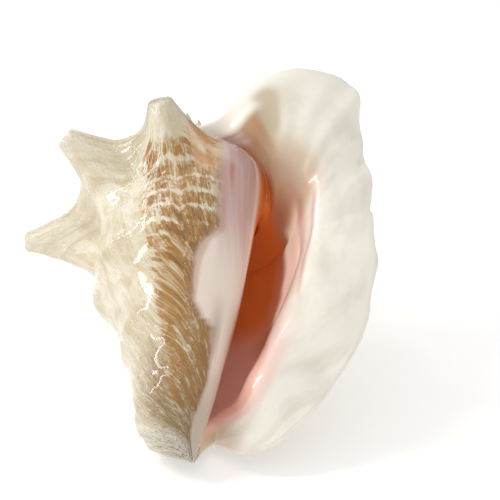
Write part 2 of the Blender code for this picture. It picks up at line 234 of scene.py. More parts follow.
def sectionKnots(angle):  # radius and Y of levels 0 to 9
    scale = growth(angle)
    drop = scale / growth(whorl["shoulderZeroAngle"])
    apexY = whorl["apexY"]
    radius = whorl["shoulderRadius"] * scale
    attached = radius * whorl["attachRadius"]
    below = apexY + whorl["attachDrop"]
    radii = [attached / whorl["ratio"], radius * whorl["rampRadius"], radius, attached]
    falls = (below / whorl["ratio"], apexY - whorl["rampRise"], apexY, below)
    heights = [apexY - fall * drop for fall in falls]
    for sectionRadii, sectionHeights in whorl["body"]:
        radii.append(through(whorl["stations"], sectionRadii, angle))
        heights.append(through(whorl["stations"], sectionHeights, angle))
    radii.append(np.zeros_like(angle))
    heights.append(np.full_like(angle, whorl["tipY"]))
    return np.stack(radii, -1), np.stack(heights, -1)


def alongLevels(knots, level):  # a smooth curve down the levels
    last = knots.shape[1] - 1
    i = np.clip(np.floor(level).astype(int), 0, last - 1)
    t = level - i
    p = [np.take_along_axis(knots, np.clip(i + k, 0, last)[:, None], 1)[:, 0] for k in (-1, 0, 1, 2)]
    p[0] = np.where(i == 0, 2 * p[1] - p[2], p[0])
    p[3] = np.where(i == last - 1, 2 * p[2] - p[1], p[3])
    return curve(t, p[1], (p[2] - p[0]) / 2, p[2], (p[3] - p[1]) / 2)


def climbed(angle, level):  # the seam of the last turn climbs the spire
    climb = whorl["seamClimb"] * band(angle, *whorl["climbAngles"])
    suture = whorl["sutureLevel"]
    last = whorl["lastLevel"]
    return level - climb * np.where(level < suture, level / suture, (last - level) / (last - suture))


def cordsAndRibs(angle, level):
    rib = np.cos(2 * np.pi * (angle - spines["body"][0][0]) / spines["stepAngle"])
    height = whorl["ribHeight"] * rib * band(level, *whorl["ribLevels"])
    swell = 1.0 + whorl["cordSwell"] * (rib - 1.0)
    for cord, rise, width in whorl["cords"]:
        height += rise * swell * bump(level, cord, width)
    return height * band(angle, *whorl["ribAngles"])


def sectionPoint(angle, level, tipY=None):
    radii, heights = sectionKnots(np.maximum(angle, whorl["scaledBelowAngle"]))
    level = climbed(angle, level)
    r = alongLevels(radii, level)
    y = alongLevels(heights, level)
    if tipY is not None:
        top = heights[:, 3]
        y = np.where(y < top, top + (y - top) * (tipY - top) / (whorl["tipY"] - top), y)
    scale = growth(np.minimum(angle, whorl["scaledBelowAngle"]) - whorl["scaledBelowAngle"])
    y = y + whorl["notchLift"] * bump(level, *whorl["notchLevel"]) * ramp(angle, *whorl["notchAngles"])
    return np.maximum(r, 0.0) * scale, whorl["apexY"] + (y - whorl["apexY"]) * scale


def place(r, y, angle):
    turn = np.radians(angle)
    return np.stack([-np.sin(turn) * r, y, np.cos(turn) * r], -1)


def growthAngle(turn, level):
    upper = ramp(level, *whorl["upperLevels"])
    start = whorl["startAngle"] + (whorl["upperStartAngle"] - whorl["startAngle"]) * upper
    flareAngle = lip["flareAngle"] - lip["notchBackAngle"] * ramp(level, *lip["notchLevels"])
    before = start + whorl["fullTurn"] * turn
    return np.where(turn < 0, before, start + (flareAngle - start) * turn / lip["flareTurn"])


def core(angle, level):
    shrink = np.clip((whorl["scaledBelowAngle"] - angle) / whorl["coreSpan"], 0.0, 1.0)
    return whorl["coreRadius"] * shrink * ramp(level, *whorl["coreLevels"])


def coil(turn, level, inner=False):
    angle = growthAngle(turn, level)
    if not inner:
        r, y = sectionPoint(angle, level)
        return place(np.hypot(r + cordsAndRibs(angle, level), core(angle, level)), y, angle)
    turnBefore = angle - whorl["fullTurn"]
    shrink = growth(np.minimum(turnBefore - whorl["scaledBelowAngle"], 0.0))
    r, y = sectionPoint(angle, level, whorl["apexY"] + (whorl["tipY"] - whorl["apexY"]) * shrink)
    return place(np.hypot(r, core(turnBefore, level)), y, angle)


def flare(turn, level, inner=False):  # the lip leaves the coil and spreads to its margin
    startTurn = np.full_like(turn, lip["flareTurn"])
    start = coil(startTurn, level, inner)
    heading = unit(start - coil(startTurn - lip["headingTurn"], level, inner))
    margin = np.array(lip["margin"])
    end = through(margin[:, 0], margin[:, 1:], level)
    out = end - np.array([*lip["centre"], 0.0])
    out[:, 2] = 0.0
    out = unit(out)
    wave = lip["wave"] * np.sin(2 * np.pi * lip["waves"] * level) * band(level, *lip["waveLevels"])
    end = end + wave[:, None] * (np.array([0.0, 0.0, 1.0]) + lip["waveOut"] * out)
    end = end + marginWear(level)[:, None] * out
    out[:, 2] = -lip["endDrop"]
    reach = np.linalg.norm(end - start, axis=1, keepdims=True)
    p1 = start + heading * reach * lip["startPull"]
    p2 = end - out * reach * lip["endPull"]
    g = np.clip((turn - lip["flareTurn"]) / (1.0 - lip["flareTurn"]), 0.0, 1.0)[:, None]
    return (1 - g) ** 3 * start + 3 * g * (1 - g) ** 2 * p1 + 3 * g**2 * (1 - g) * p2 + g**3 * end


def sheet(turns, levels, inner=False):
    turn, level = [a.ravel() for a in np.meshgrid(turns, levels, indexing="ij")]
    points = coil(np.minimum(turn, lip["flareTurn"]), level, inner)
    flared = turn > lip["flareTurn"]
    points[flared] = flare(turn[flared], level[flared], inner)
    return points.reshape(len(turns), len(levels), 3)


def outwardNormals(points):
    return unit(np.cross(np.gradient(points, axis=0), np.gradient(points, axis=1)))


def spineList():  # turn, growth angle, height, foot, lean, bluntness
    upper = whorl["upperStartAngle"]
    found = []
    for angle, *shape in spines["body"]:
        found.append(((angle - upper) / (lip["flareAngle"] - upper) * lip["flareTurn"], angle, *shape))
    steps = list(spines["spire"])
    for k in range(spines["tinyOnes"]):
        steps.append(steps[-1] + spines["spireStep"])
    for step in steps:
        angle = upper + whorl["fullTurn"] * step / spines["stepsPerTurn"]
        scale = growth(angle - whorl["scaledBelowAngle"])
        shape = (spines["spireHeight"] * scale, spines["spireFoot"] * scale)
        turn = step / spines["stepsPerTurn"]
        found.append((turn, angle, *shape, spines["spireLean"], spines["spireBlunt"]))
    return found


def raiseSpines(points, turns, levels):
    # the foot of each spine is drawn in and lifted to a blunt tip; worn is how near a point is to the tip
    raised = points.copy()
    worn = np.zeros(points.shape[:2])
    near = levels < spines["nearLevel"]
    for turn, angle, height, foot, lean, blunt in spineList():
        drop = growth(angle - whorl["shoulderZeroAngle"])
        base = place(whorl["shoulderRadius"] * growth(angle), whorl["apexY"] * (1.0 - drop), angle)
        outward = unit(base * (1.0, 0.0, 1.0))
        tilt = math.radians(lean)
        along = outward * math.cos(tilt) + np.array([0.0, math.sin(tilt), 0.0])
        block = np.ix_(np.abs(turns - turn) < spines["nearTurn"], near)
        flat = points[block] - base
        levelPart = flat @ along
        side = flat - levelPart[..., None] * along
        measure = side.copy()
        measure[..., 1] -= np.minimum(side[..., 1], 0.0) * (1.0 - 1.0 / spines["tail"])
        t = np.clip(np.linalg.norm(measure, axis=2) / foot, 0.0, 1.0)
        lift = np.minimum(1.0, blunt * (1.0 - t) ** spines["taper"]) * height
        lift -= wear["pitDepth"] * bump(t, 0.0, wear["pitWidth"]) * (height > wear["pitFrom"])
        gather = spines["gather"] * (1.0 - t) ** 2
        levelPart = levelPart * (1.0 - bump(t, 0.0, spines["levelled"]))
        new = side * (1.0 - gather)[..., None] + (levelPart + lift)[..., None] * along
        raised[block] += np.where((t < 1.0)[..., None], new - flat, 0.0)
        worn[block] = np.maximum(worn[block], 1.0 - t)
    return raised, worn


wear = {
    "pitDepth": 0.7,  # the flat-cut tips of the larger spines are slightly hollow
    "pitWidth": 0.16,
    "pitFrom": 20.0,
    "marginRoughness": 0.7,
    "marginGrain": 6.0,  # cells in each level
    "marginLevels": (1.0, 1.8, 7.8, 8.6),
    "chip": (4.2, 0.06, 1.6),  # a small chip in the margin: level, half width in levels, depth
}

relief = {
    "restHeight": 0.9,  # growth rests, uneven axial swellings
    "restEvery": 11.0,
    "restLength": 60.0,
    "threadHeight": 0.28,  # low spiral threads on the ramp and the shoulder
    "threadsPerLevel": 3.0,
    "threadPatch": 14.0,
    "threadLevels": (6.0, 4.0),
    "lumpHeight": 0.5,
    "lumpSize": 9.0,
    "wrinkleHeight": 0.7,  # wrinkles low on the left of the body
    "wrinkleEvery": 4.5,
    "wrinkleLength": 30.0,
    "wrinkleSlope": 0.45,
    "wrinkleShift": 5.0,
    "wrinkleLevels": (5.5, 7.0),
    "spineSmoothing": 0.6,
    "spineWorn": (0.0, 1 / 3),
    "glazeSmoothing": 0.75,
    "glazeRise": 0.35,  # the callus lies on the body like a thick coat of glaze
    "foldHeight": 0.55,  # radial folds near the margin of the lip
    "foldsPerLevel": 1.6,
    "foldLeast": 0.4,
    "foldPatches": (2.0, 10.0, 32),  # cells of chance in a level and in a turn, and a seed
    "foldDrift": 2.0,  # radians
    "foldDrifts": (1.3, 4.0, 31),
    "foldTurns": (0.84, 0.98),
    "foldLevels": (1.0, 2.0, 7.2, 8.0),
    "crestHeight": 1.8,  # the crest where the wall of the aperture turns out into the lip
    "crestTurns": (-0.014, 0.0, 0.0, 0.06),  # steep towards the depth, gentle towards the margin
    "crestLevels": (2.9, 3.7, 4.8, 6.2),
    "ridgeHeight": 0.9,  # thin edge of the callus at the top of the aperture
    "ridgeTurn": (0.962, 0.014),
    "ridgeLevels": (1.10, 0.85),
    "creaseDepth": 0.8,  # the fold beside it
    "creaseLevel": (1.12, 0.32),
    "creaseTurns": (0.89, 0.93, 0.965, 0.995),
    "lipLumpHeight": 0.3,
    "lipLumps": (40.0, 1.5, 33),  # cells in a turn and in a level
    "lipLevels": (0.0, 0.6, 7.8, 8.6),
    "endLevels": (8.9, 8.4),
    "bend": 1.0,  # mm that the spiral lines drop for each degree, from the first angle to the second
    "bendAngles": (5.0, 45.0),
    # blisters in the callus: level, growth angle, radius, height
    "blisters": (
        (7.60, -22.0, 2.6, 0.5),
        (7.72, -21.0, 1.7, 0.4),
        (7.80, -25.0, 1.3, 0.35),
        (7.50, -26.0, 1.5, 0.3),
        (8.15, -20.0, 1.4, 0.3),
    ),
    "slantFrom": 5.2,  # below this level the growth lines run more and more obliquely
    "slant": 8.0,  # degrees, times the square of the levels below
    "mapAngle": 60.0,  # where the map has these measures
    "mmPerDegree": 0.85,
    "mmPerLevel": 27.0,
    "mmPerUpperLevel": 13.0,
    "blisterMmPerDegree": 0.35,
}

# left border of the callus on the body: level, growth angle
callusBorder = (
    (3.6, -24.0), (4.3, -25.0), (4.7, -26.0), (5.25, -23.0), (5.8, -22.0),
    (6.2, -23.0), (6.4, -12.0), (6.7, -5.0), (7.2, -1.0), (7.4, -11.0),
    (7.45, -26.0), (7.75, -27.0), (8.1, -23.0), (8.35, -12.0), (8.6, 6.0),
    (9.0, 20.0),
)
# edge of the dark depth of the aperture: level, turn
depthEdge = (
    (0.0, 0.83), (0.6, 0.79), (1.4, 0.75), (2.8, 0.722), (4.5, 0.71),
    (5.8, 0.697), (6.2, 0.72), (6.6, 0.80), (7.4, 0.83), (9.0, 0.84),
)
# crest between the wall of the aperture and the spread of the lip: level, turn
lipCrest = (
    (1.5, 0.86), (2.7, 0.867), (3.3, 0.882), (3.7, 0.875), (4.8, 0.866),
    (5.6, 0.865), (6.4, 0.89), (7.3, 0.895), (9.0, 0.90),
)


def noise(u, v, seed):  # smooth and repeatable, from 0 to 1, with cells of unit size
    i, j = np.floor(u), np.floor(v)
    fu, fv = smooth(u - i), smooth(v - j)

    def corner(du, dv):
        wild = np.sin((i + du) * 127.1 + (j + dv) * 311.7 + seed * 74.7) * 43758.5453
        return wild - np.floor(wild)

    upper = corner(0, 0) * (1 - fu) + corner(1, 0) * fu
    lower = corner(0, 1) * (1 - fu) + corner(1, 1) * fu
    return upper * (1 - fv) + lower * fv


def chance(u, v, perU, perV, seed):  # the same with so many cells to a unit of u and of v
    return noise(u * perU, v * perV, seed)


def unevenness(u, v, seed):  # a coarse noise with a finer one on it, from -0.75 to 0.75
    return noise(u, v, seed) + 0.5 * noise(u * 2.3, v * 1.5, seed + 1) - 0.75


def along(places, level):  # the value of a list of level and value at each level
    return np.interp(level, *zip(*places))


def marginWear(level):  # how far the margin stands in or out
    rough = unevenness(level * wear["marginGrain"], 0 * level, 3) * wear["marginRoughness"]
    chipLevel, chipWidth, chipDepth = wear["chip"]
    return rough * band(level, *wear["marginLevels"]) - chipDepth * bump(level, chipLevel, chipWidth)


def surfaceMap(turns, levels):
    # growth angle, and a map of the surface in millimetres: across the growth lines, and down the section
    turn, level = np.meshgrid(turns, levels, indexing="ij")
    angle = growthAngle(turn, level)
    suture = whorl["sutureLevel"]
    slant = relief["slant"] * np.maximum(level - relief["slantFrom"], 0.0) ** 2
    widest = relief["mmPerDegree"] * whorl["fullTurn"] / math.log(whorl["ratio"])
    across = widest * growth(angle + slant - relief["mapAngle"])
    upper = relief["mmPerUpperLevel"] * growth(angle - relief["mapAngle"])
    down = upper * np.minimum(level, suture) + relief["mmPerLevel"] * np.maximum(level - suture, 0.0)
    first, last = relief["bendAngles"]
    down = down + relief["bend"] * (np.clip(angle, first, last) - first) * smooth(level - suture)
    return angle, across, down


def bodyRelief(turns, levels, worn):
    turn, level = np.meshgrid(turns, levels, indexing="ij")
    angle, across, down = surfaceMap(turns, levels)
    size = growth(np.minimum(angle - relief["mapAngle"], 0.0))
    # on the spire the map shrinks with the whorls, so the pattern is measured in their own size
    u = across / size
    v = down / size
    height = relief["restHeight"] * unevenness(u / relief["restEvery"], v / relief["restLength"], 11)
    threads = np.sin(2 * np.pi * relief["threadsPerLevel"] * level) * ramp(level, *relief["threadLevels"])
    threads = threads * (0.5 + noise(u / relief["threadPatch"], v / relief["threadPatch"], 13))
    height += relief["threadHeight"] * threads
    lumps = noise(u / relief["lumpSize"], v / relief["lumpSize"], 14) - 0.5
    height += relief["lumpHeight"] * lumps
    sloped = (v + relief["wrinkleSlope"] * u) / relief["wrinkleEvery"]
    wrinkles = noise(u / relief["wrinkleLength"] + relief["wrinkleShift"], sloped, 15) - 0.5
    height += relief["wrinkleHeight"] * wrinkles * ramp(level, *relief["wrinkleLevels"])
    height = height * size * (1.0 - relief["spineSmoothing"] * ramp(worn, *relief["spineWorn"]))
    last = turn >= 0
    columella = ramp(turn, *glazeEdge["columellaTurns"]) * ramp(level, *glazeEdge["levels"])
    height = height * np.where(last, 1.0, ramp(level, whorl["ceilingLevel"], whorl["sutureLevel"]))
    glaze = np.where(last, glazeZone(level, angle), columella)
    height = height * (1.0 - relief["glazeSmoothing"] * glaze) + relief["glazeRise"] * glaze
    for atLevel, atAngle, radius, rise in relief["blisters"]:
        downwards = (level - atLevel) * relief["mmPerLevel"]
        away = np.hypot(downwards, (angle - atAngle) * relief["blisterMmPerDegree"])
        height += rise * bump(away, 0.0, radius) * last
    return height * ramp(level, *relief["endLevels"])


glazeEdge = {
    "levels": (3.3, 3.8),
    "columellaTurns": (-0.08, 0.0),
    "softness": 5.0,  # degrees from bare to glazed
    "softerAbove": 4.0,
    "softerLevels": (6.1, 5.6),
    # uneven by so many degrees, in so many cells to a level and to a degree
    "unevenness": ((5.0, 5.0, 1 / 9, 21), (3.0, 14.0, 1 / 4, 22)),
}


def glazeZone(level, angle):  # from 0 on the bare outside to 1 on the callus
    border = along(callusBorder, level)
    for degrees, *cells in glazeEdge["unevenness"]:
        border += degrees * (chance(level, angle, *cells) - 0.5)
    softness = glazeEdge["softness"] + glazeEdge["softerAbove"] * ramp(level, *glazeEdge["softerLevels"])
    return ramp(border - angle, -softness / 2, softness / 2) * ramp(level, *glazeEdge["levels"])


def canalRidge(turn, level):  # from 0 to 1 on the thin edge that runs up to the top of the aperture
    return bump(turn, *relief["ridgeTurn"]) * ramp(level, *relief["ridgeLevels"])


def lipCrease(turn, level):  # the fold beside the canal, where the lip starts to spread
    return bump(level, *relief["creaseLevel"]) * band(turn, *relief["creaseTurns"])


def lipRelief(turns, levels):
    turn, level = np.meshgrid(turns, levels, indexing="ij")
    drift = relief["foldDrift"] * chance(level, turn, *relief["foldDrifts"])
    folds = np.sin(2 * np.pi * relief["foldsPerLevel"] * level + drift)
    folds *= relief["foldLeast"] + chance(level, turn, *relief["foldPatches"])
    folds *= ramp(turn, *relief["foldTurns"]) * band(level, *relief["foldLevels"])
    crest = band(turn - along(lipCrest, level), *relief["crestTurns"]) * band(level, *relief["crestLevels"])
    height = relief["foldHeight"] * folds + relief["crestHeight"] * crest
    height += relief["ridgeHeight"] * canalRidge(turn, level)
    height -= relief["creaseDepth"] * lipCrease(turn, level)
    height += relief["lipLumpHeight"] * (chance(turn, level, *relief["lipLumps"]) - 0.5)
    return height * band(level, *relief["lipLevels"])


# four values of finish in each vertex attribute
finishes = {
    "finishOne": ("glaze", "brown", "depth", "salmon"),
    "finishTwo": ("lilac", "worn", "canal", "stain"),
    # through is painted light: a glow that stands in for daylight through the lip
    "finishThree": ("callus", "low", "through", "foot"),
    "finishFour": ("amber", "beigeAndShade", "ridge", "crestShadeLine"),
    "finishFive": ("tanFoot", "crease", "rosy", "flake"),
}


# where each finish lies on the outside, in degrees and levels; past is degrees from the callus border
outsideMap = {
    "lowLevels": (5.8, 6.8),
    "brownPast": (-6.0, 2.0),
    "brownAngles": (35.0, 21.0),
    "brownLevels": (3.4, 4.3, 8.2, 8.8),
    "brownThinLevels": (7.0, 7.6),
    "brownThins": 0.5,
    "brownDenseLevel": (6.3, 0.9),
    "brownDenser": 0.3,
    "brownEven": 0.52,
    "brownUneven": 0.6,
    "brownPatches": (1 / 7, 3.0, 41),
    "brownWorn": (0.5, 0.2),
    "lilacLevels": (6.9, 5.7),
    "lilacAngles": (-18.0, -26.0),
    "fringePast": (1.0, 5.0),
    "fringeLevels": (4.8, 5.2),
    "stain": 0.6,
    "rosyPast": (-3.0, 4.0),
    "rosy": 0.5,
    "streakAngle": (-31.5, 3.5),
    "streakLevel": (5.2, 0.45),
    "streakPatches": (1 / 2.5, 4.0, 43),
    "flakeAngle": (-10.5, 4.0),
    "flakeLevel": (4.9, 0.13),
    "tipSlope": 0.0135,  # levels that the chalky tip climbs in each degree
    "tipSloped": (8.7, 9.2),
    "tipLevels": (7.7, 8.0),
    "tanLevels": (6.7, 7.7),
    "tanAngles": (85.0, 40.0),
    "amberAngles": (-2.0, -7.0),
    "amberLevels": (3.2, 3.8, 5.0, 5.6),
    "footLevels": (7.6, 8.5),
    # painted shade: a darker patch on the callus near its border, at this level and angle
    "paintedShadeLevel": (7.5, 0.55),
    "paintedShadeAngle": (-31.0, 14.0),
    "paintedShade": 0.9,
}

# on the columella, in turns before the last whorl
columellaMap = {
    "salmonTurns": (-0.045, -0.095),
    "depthTurns": (-0.075, -0.130),
}

# on the lining of the last whorl, in levels and turns; edge is turns past the edge of the dark depth, and
# crest is 0 there and 1 on the crest of the lip
liningMap = {
    "lowLevels": (4.6, 5.8),
    "edgeUneven": 0.012,
    "edgePatches": (2.0, 12.0, 42),
    "depthFrom": -0.035,
    "depthBlend": 0.055,  # turns, and how much broader it is low down
    "depthBlendLow": 0.05,
    "salmonCrest": (1.25, 0.0),
    "ridgeFoot": (0.965, 0.945),
    "canalLevels": (1.25, 0.85),
    "lilacLevels": (0.55, 0.35),
    "lilacTurns": (0.90, 0.92),
    # beige: partly the shell's tan, partly painted shade of the upper ceiling, of the top of the lip and of
    # the notch
    "beigeLevels": (4.0, 2.7),
    "beigeTurns": (0.945, 0.86),
    "beigeShadeCloud": 0.4,
    "cloudPatches": (2.2, 22.0, 44),
    "cloudLevels": (2.7, 1.8),
    "notchLevels": (8.0, 8.5),
    "notchTurns": (0.98, 0.93),
    # where the lining is made to glow, a painted light for daylight through the lip wall
    "paintedGlowEdge": (-0.005, 0.025),
    "paintedGlowTurns": (0.84, 0.79),
    "paintedGlowLevels": (1.3, 2.2, 4.9, 5.5),
    # painted shade: a darker line along the crest, for the shade under its undercut edge
    "crestShadeLine": (0.99, 0.06),
    "crestLevels": (2.4, 2.9, 5.4, 6.2),
}


def paintOutside(at, turn, level, angle):
    m = outsideMap
    last = turn >= 0
    past = angle - along(callusBorder, level)
    glaze = glazeZone(level, angle) * last
    thinning = 1.0 - m["brownThins"] * ramp(level, *m["brownThinLevels"])
    denser = 1.0 + m["brownDenser"] * bump(level, *m["brownDenseLevel"])
    uneven = m["brownEven"] + m["brownUneven"] * chance(angle, level, *m["brownPatches"])
    brown = ramp(past, *m["brownPast"]) * ramp(angle, *m["brownAngles"]) * band(level, *m["brownLevels"])
    at["brown"] = brown * thinning * denser * uneven * last * ramp(at["worn"], *m["brownWorn"])
    at["glaze"] = at["callus"] = glaze
    at["lilac"] = glaze * ramp(level, *m["lilacLevels"]) * ramp(angle, *m["lilacAngles"])
    fringe = ramp(level, *m["fringeLevels"]) * last
    at["stain"] = m["stain"] * bump(past, *m["fringePast"]) * fringe
    streak = bump(angle, *m["streakAngle"]) * bump(level, *m["streakLevel"]) * last
    streak *= 0.5 + chance(angle, level, *m["streakPatches"])
    at["rosy"] = streak + m["rosy"] * bump(past, *m["rosyPast"]) * fringe
    at["flake"] = bump(angle, *m["flakeAngle"]) * bump(level, *m["flakeLevel"]) * last
    tip = ramp(level + m["tipSlope"] * angle, *m["tipSloped"]) * ramp(level, *m["tipLevels"])
    at["worn"] = np.maximum(at["worn"], last * tip)
    at["tanFoot"] = ramp(level, *m["tanLevels"]) * ramp(angle, *m["tanAngles"]) * (1.0 - glaze) * last
    at["amber"] = ramp(angle, *m["amberAngles"]) * band(level, *m["amberLevels"]) * last
    # painted shade on the callus near its border, laid on with the darker foot
    paintedShade = m["paintedShade"] * bump(level, *m["paintedShadeLevel"]) * bump(angle, *m["paintedShadeAngle"])
    at["foot"] = glaze * np.maximum(ramp(level, *m["footLevels"]), paintedShade)


def paintColumella(at, turn, level):
    at["glaze"] = np.ones_like(turn)
    at["salmon"] = ramp(turn, *columellaMap["salmonTurns"])
    at["depth"] = ramp(turn, *columellaMap["depthTurns"])
    at["callus"] = 1.0 - at["salmon"]
    at["lilac"] = at["callus"] * ramp(level, *outsideMap["lilacLevels"])
    at["foot"] = ramp(level, *outsideMap["footLevels"])


def paintLining(at, turn, level):
    m = liningMap
    uneven = m["edgeUneven"] * (chance(level, turn, *m["edgePatches"]) - 0.5)
    edge = along(depthEdge, level) + uneven
    past = turn - edge
    toCrest = past / (along(lipCrest, level) - edge)
    at["glaze"] = np.ones_like(turn)
    at["low"] = ramp(level, *m["lowLevels"])
    blend = m["depthBlend"] + m["depthBlendLow"] * at["low"]
    at["depth"] = ramp(past, m["depthFrom"] + blend, m["depthFrom"])
    at["salmon"] = ramp(toCrest, *m["salmonCrest"])
    at["canal"] = ramp(level, *m["canalLevels"]) * ramp(turn, *m["ridgeFoot"])
    lilac = ramp(level, *m["lilacLevels"]) * ramp(turn, *m["lilacTurns"])
    at["lilac"] = lilac * ramp(turn, *m["ridgeFoot"])
    # beige tan with painted shade: the upper ceiling, darker clouds at the top of the lip, and the notch
    beigeAndShade = ramp(level, *m["beigeLevels"]) * ramp(turn, *m["beigeTurns"])
    cloud = m["beigeShadeCloud"] * ramp(level, *m["cloudLevels"]) * chance(level, turn, *m["cloudPatches"])
    notch = ramp(level, *m["notchLevels"]) * ramp(turn, *m["notchTurns"])
    at["beigeAndShade"] = np.maximum(np.maximum(beigeAndShade, cloud), notch)
    # painted light: a glow on the wall between the depth and the crest, for daylight through the thin lip
    through = ramp(past, *m["paintedGlowEdge"]) * ramp(turn, *m["paintedGlowTurns"])
    at["through"] = through * band(level, *m["paintedGlowLevels"])
    at["ridge"] = canalRidge(turn, level)
    # painted shade: the fold beside the canal is darkened in colour as well as cut in
    at["crease"] = lipCrease(turn, level)
    # painted shade along the crest of the lip
    at["crestShadeLine"] = bump(toCrest, *m["crestShadeLine"]) * band(level, *m["crestLevels"])


def finishAt(kind, turns, levels, worn):  # the map of a patch, and how much of each finish lies where
    turn, level = np.meshgrid(turns, levels, indexing="ij")
    angle, across, down = surfaceMap(turns, levels)
    at = {name: np.zeros_like(turn) for names in finishes.values() for name in names}
    at["worn"] = worn
    at["low"] = ramp(level, *outsideMap["lowLevels"])
    if kind == "outside":
        paintOutside(at, turn, level, angle)
    elif kind == "columella":
        paintColumella(at, turn, level)
    else:
        paintLining(at, turn, level)
    packed = [np.stack([at[name] for name in names], -1) for names in finishes.values()]
    return [np.stack([across, down, np.zeros_like(turn)], -1)] + packed


def levelRows():
    # three rows between the suture and the ceiling of the lining meet the rim of the lip
    suture, ceiling = whorl["sutureLevel"], whorl["ceilingLevel"]
    upper = np.linspace(0.0, suture, sutureRow + 1)
    between = np.linspace(suture, ceiling, lip["rimSegments"] + 1)
    lower = np.linspace(ceiling, whorl["lastLevel"], net["lowerRows"] + 1)
    return np.concatenate([upper, between[1:], lower[1:]])


def softened(points, turns, levels):
    # the broad lip grew evenly, so the crease of the shoulder fades out on it
    turn, level = np.meshgrid(turns, levels, indexing="ij")
    share = band(turn, *lip["softTurns"]) * band(level, *lip["softLevels"])
    for k in range(lip["softenings"]):
        middle = (points[:, 2:] + points[:, :-2]) / 2
        points[:, 1:-1] += (middle - points[:, 1:-1]) * share[:, 1:-1, None]
    return points


def wallOfLastWhorl(turns, levels):
    plain = softened(sheet(turns, levels, inner=True), turns, levels)
    thins = smooth((turns - lip["flareTurn"]) / lip["wallTurns"])
    thickness = whorl["wall"] + (lip["wall"] - whorl["wall"]) * thins
    foot = ramp(levels, *whorl["wallEndLevels"])
    inward = -outwardNormals(plain)
    depth = thickness[:, None] * (1 - foot)[None, :] + lipRelief(turns, levels)
    return plain + inward * depth[..., None], foot


def addPatch(bm, layers, points, noted):
    columns, rows = points.shape[:2]
    made = bmesh.ops.create_grid(bm, x_segments=rows - 1, y_segments=columns - 1, size=1.0)["verts"]
    flat = [values.reshape(columns * rows, -1).tolist() for values in (points, *noted)]
    for vert, point, *values in zip(made, *flat):
        vert.co = point
        for layer, value in zip(layers, values):
            vert[layer] = value


def drawWhorls(turns, levels):  # the outer surface, and how near each point is to a spine's tip
    outer, worn = raiseSpines(softened(sheet(turns, levels), turns, levels), turns, levels)
    outer += outwardNormals(outer) * bodyRelief(turns, levels, worn)[..., None]
    # the upper edge of each whorl lies on the whorl before
    pull = ramp(levels, 1.0, 0.0)[:, None]
    for column in range(perTurn, endColumn + 1):
        outer[column] += pull * (outer[column - perTurn, sutureRow] - outer[column, 0])
    return outer, worn


def drawLining(turns, levels, outer):  # the inner surface of the last whorl, joined to the one it lies on
    inner, foot = wallOfLastWhorl(turns[zeroColumn:], levels)
    under = outer[zeroColumn - perTurn : zeroColumn + 1]
    pull = ramp(levels, *net["liningPull"])[:, None]
    for k in range(perTurn + 1):
        inner[k] += pull * (under[k, ceilingRow] - inner[k, 0])
        inner[k] += foot[:, None] * (under[k, -1] - inner[k, -1])
    inner[:, 0] = under[:, ceilingRow]
    inner[:, -1] = under[:, -1]
    return inner


def drawRim(outer, inner, levels):
    # the rounded rim of the lip, and the end of the wall at the start of the last turn
    edgeOut = pick(outer, np.array([endColumn]), np.arange(len(levels)))[0]
    edgeIn = inner[perTurn]
    across = edgeOut - edgeIn
    away = unit(outer[endColumn] - outer[endColumn - lip["headingColumns"]])
    away *= np.linalg.norm(across, axis=1, keepdims=True) / 2
    arcs = []
    for k in range(lip["rimSegments"] + 1):
        turned = math.pi * k / lip["rimSegments"]
        arc = (edgeOut + edgeIn) / 2 + across / 2 * math.cos(turned) + away * math.sin(turned)
        arc[0] = outer[zeroColumn, sutureRow + k]
        arc[-1] = edgeOut[-1]
        arcs.append(arc)
    arcs[0], arcs[-1] = edgeOut, edgeIn
    return np.stack(arcs)


def pick(outer, columns, rows):  # points of the outer surface; the small whorls share a coarser net
    c, j = np.meshgrid(columns, rows, indexing="ij")
    pinned = (j == 0) & (c >= perTurn)
    j = np.where(pinned | (c == 0), sutureRow, j)
    c = np.where(pinned, c - perTurn, c)
    columnStep, rowStep = np.ones_like(c), np.ones_like(j)
    for beforeTurn, wideColumn, wideRow in net["coarse"]:
        coarse = c <= zeroColumn + beforeTurn * perTurn
        columnStep = np.where(coarse, wideColumn, columnStep)
        rowStep = np.where(coarse, wideRow, rowStep)
    return outer[c - c % columnStep, j - j % rowStep]


def outerPatches(levels):  # kind, columns and rows: the spire, the last whorl and the columella
    allRows = np.arange(len(levels))
    starts = [0] + [zeroColumn + turn * perTurn for turn, *step in net["coarse"]][::-1] + [zeroColumn]
    steps = [step for turn, *step in net["coarse"]][::-1] + [(1, 1)]
    patches = []
    for first, end, (wideColumn, wideRow) in zip(starts, starts[1:], steps):
        rows = np.arange(0, sutureRow + 1, wideRow)
        patches.append(("outside", np.arange(first, end + 1, wideColumn), rows))
    patches.append(("outside", np.arange(zeroColumn, endColumn + 1), allRows))
    inHollow = np.arange(zeroColumn - hollowColumns, zeroColumn + 1)
    patches.append(("columella", inHollow, allRows[ceilingRow:]))
    return patches


